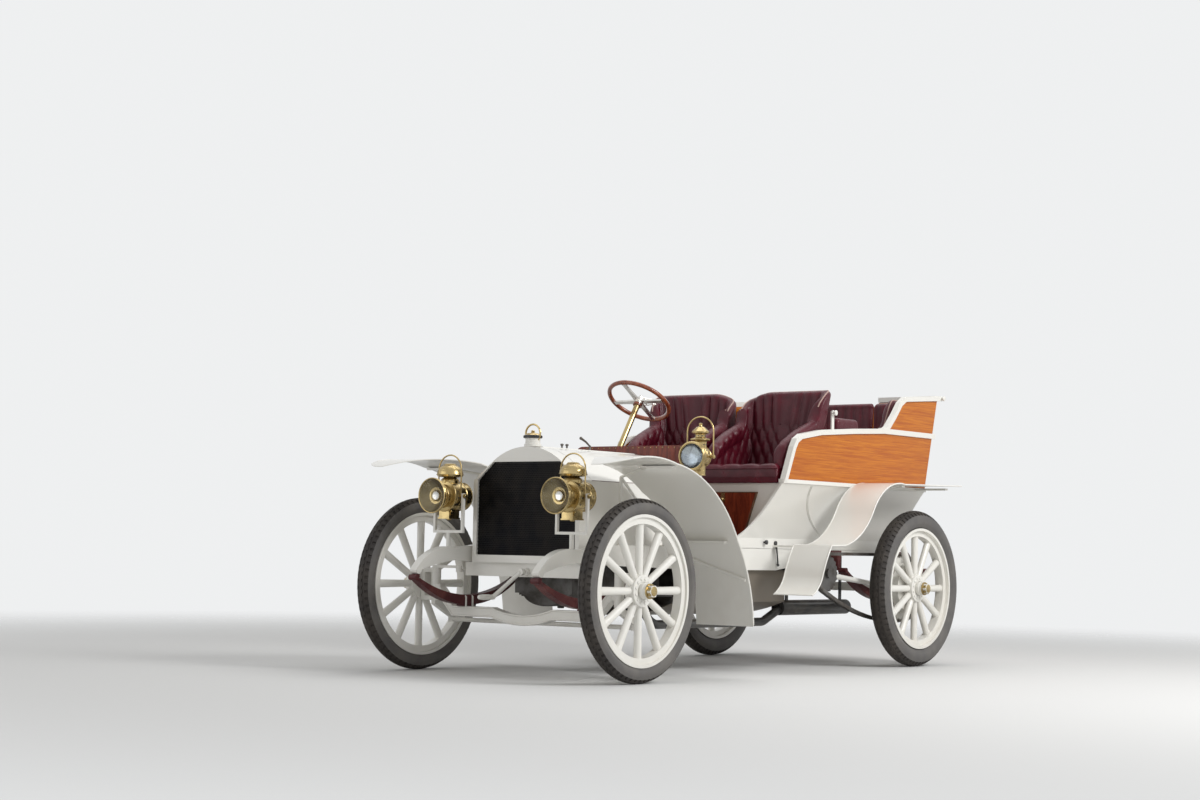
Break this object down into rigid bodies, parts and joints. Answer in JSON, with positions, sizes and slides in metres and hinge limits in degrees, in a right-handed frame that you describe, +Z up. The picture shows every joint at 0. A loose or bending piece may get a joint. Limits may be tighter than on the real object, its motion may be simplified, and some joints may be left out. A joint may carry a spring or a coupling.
{
  "type": "brass era touring car",
  "caption": "Open chain-driven touring car of about 1905 with a wooden rear-entrance tonneau, artillery wheels, brass projector lamps and buttoned leather seats.",
  "frame": {"origin": "centre of the bounding box in plan, on the ground", "axes": "X to the car's left, Y to its rear, Z up"},
  "size_m": [1.7, 3.68, 1.6338],
  "materials": {
    "cream_paint": "gloss",
    "maroon_paint": "satin",
    "maroon_gaiter": "satin",
    "cream_wood": "gloss",
    "varnished_wood": "gloss",
    "dark_wood": "satin",
    "tread_rubber": "matte",
    "polished_brass": "polished",
    "black_core": "satin",
    "dark_steel": "satin",
    "cast_block": "matte",
    "pan_sheet": "satin",
    "burgundy_leather": "satin",
    "mahogany": "gloss"
  },
  "bodies": {
    "root": {"frame": "cream_paint", "front_axle": "cream_paint", "road_springs": "maroon_gaiter", "rear_axle": "cream_paint", "drive_chains": "dark_steel", "gearbox": "cast_block", "engine_block": "cast_block", "undershield": "pan_sheet", "exhaust": "dark_steel", "radiator_shell": "cream_paint", "radiator_core": "black_core", "radiator_cap": "polished_brass", "bonnet_sides": "cream_paint", "dashboard": "mahogany", "steering_column": "polished_brass", "side_levers": "polished_brass", "floor_boards": "dark_wood", "lower_body": "cream_paint", "tonneau_sides": "varnished_wood", "body_rails": "cream_wood", "front_seats": "burgundy_leather", "rear_seats": "burgundy_leather", "front_mudguards": "cream_paint", "rear_mudguards": "cream_paint", "stay_irons": "cream_paint", "headlamps": "polished_brass", "side_lamps": "polished_brass", "door_hinges": "polished_brass"},
    "front_wheel_left": {"front_wheel_left": "cream_wood", "front_tyre_left": "tread_rubber"},
    "front_wheel_right": {"front_wheel_right": "cream_wood", "front_tyre_right": "tread_rubber"},
    "rear_wheel_left": {"rear_wheel_left": "cream_wood", "rear_tyre_left": "tread_rubber"},
    "rear_wheel_right": {"rear_wheel_right": "cream_wood", "rear_tyre_right": "tread_rubber"},
    "knuckle_left": {"knuckle_left": "dark_steel"},
    "knuckle_right": {"knuckle_right": "dark_steel"},
    "steering_wheel": {"steering_wheel": "mahogany"},
    "tie_rod": {"tie_rod": "dark_steel"},
    "drag_link": {"drag_link": "dark_steel"},
    "drop_arm": {"drop_arm": "dark_steel"},
    "starting_handle": {"starting_handle": "cream_paint"},
    "bonnet_lid_left": {"bonnet_lid_left": "cream_paint"},
    "bonnet_lid_right": {"bonnet_lid_right": "cream_paint"},
    "rear_door": {"rear_door": "varnished_wood"}
  },
  "joints": [
    {"name": "steering_wheel_turn", "type": "hinge", "parent": "root", "child": "steering_wheel", "pos_m": [-0.3, -0.032, 1.509], "axis": [0, 0.5329, 0.8462], "range_deg": [-220, 220]},
    {"name": "knuckle_left_steer", "type": "hinge", "parent": "root", "child": "knuckle_left", "pos_m": [0.61, -1.385, 0.455], "axis": [0, 0, 1], "range_deg": [-22.5, 22.5]},
    {"name": "knuckle_right_steer", "type": "hinge", "parent": "root", "child": "knuckle_right", "pos_m": [-0.61, -1.385, 0.455], "axis": [0, 0, 1], "range_deg": [-22.5, 22.5]},
    {"name": "front_wheel_left_spin", "type": "hinge", "parent": "knuckle_left", "child": "front_wheel_left", "pos_m": [0.728, -1.385, 0.455], "axis": [1, 0, 0], "continuous": true},
    {"name": "front_wheel_right_spin", "type": "hinge", "parent": "knuckle_right", "child": "front_wheel_right", "pos_m": [-0.728, -1.385, 0.455], "axis": [1, 0, 0], "continuous": true},
    {"name": "rear_wheel_left_spin", "type": "hinge", "parent": "root", "child": "rear_wheel_left", "pos_m": [0.728, 1.355, 0.46], "axis": [1, 0, 0], "continuous": true},
    {"name": "rear_wheel_right_spin", "type": "hinge", "parent": "root", "child": "rear_wheel_right", "pos_m": [-0.728, 1.355, 0.46], "axis": [1, 0, 0], "continuous": true},
    {"name": "tie_rod_swing", "type": "hinge", "parent": "knuckle_left", "child": "tie_rod", "pos_m": [0.61, -1.255, 0.268], "axis": [0, 0, 1], "range_deg": [-22.5, 22.5]},
    {"name": "drag_link_swing", "type": "hinge", "parent": "knuckle_right", "child": "drag_link", "pos_m": [-0.451, -1.385, 0.5307], "axis": [0, 0, 1], "range_deg": [-22.5, 22.5]},
    {"name": "drop_arm_swing", "type": "hinge", "parent": "root", "child": "drop_arm", "pos_m": [-0.434, -0.585, 0.6607], "axis": [1, 0, 0], "range_deg": [-28, 28]},
    {"name": "starting_handle_turn", "type": "hinge", "parent": "root", "child": "starting_handle", "pos_m": [0, -1.385, 0.531], "axis": [0, 1, 0], "continuous": true},
    {"name": "bonnet_lid_left_lift", "type": "hinge", "parent": "root", "child": "bonnet_lid_left", "pos_m": [0.014, -0.89, 1.175], "axis": [0, -1, 0], "range_deg": [0, 90]},
    {"name": "bonnet_lid_right_lift", "type": "hinge", "parent": "root", "child": "bonnet_lid_right", "pos_m": [-0.014, -0.89, 1.175], "axis": [0, 1, 0], "range_deg": [0, 90]},
    {"name": "rear_door_swing", "type": "hinge", "parent": "root", "child": "rear_door", "pos_m": [-0.237, 1.72294, 1.04094], "axis": [0, 0.1062, 0.9943], "range_deg": [0, 95]}
  ],
  "couplings": [
    {"joint": "knuckle_left_steer", "follows": "steering_wheel_turn", "ratio": 0.1},
    {"joint": "knuckle_right_steer", "follows": "steering_wheel_turn", "ratio": 0.1},
    {"joint": "tie_rod_swing", "follows": "steering_wheel_turn", "ratio": -0.1},
    {"joint": "drag_link_swing", "follows": "steering_wheel_turn", "ratio": -0.1},
    {"joint": "drop_arm_swing", "follows": "steering_wheel_turn", "ratio": 0.1235}
  ]
}
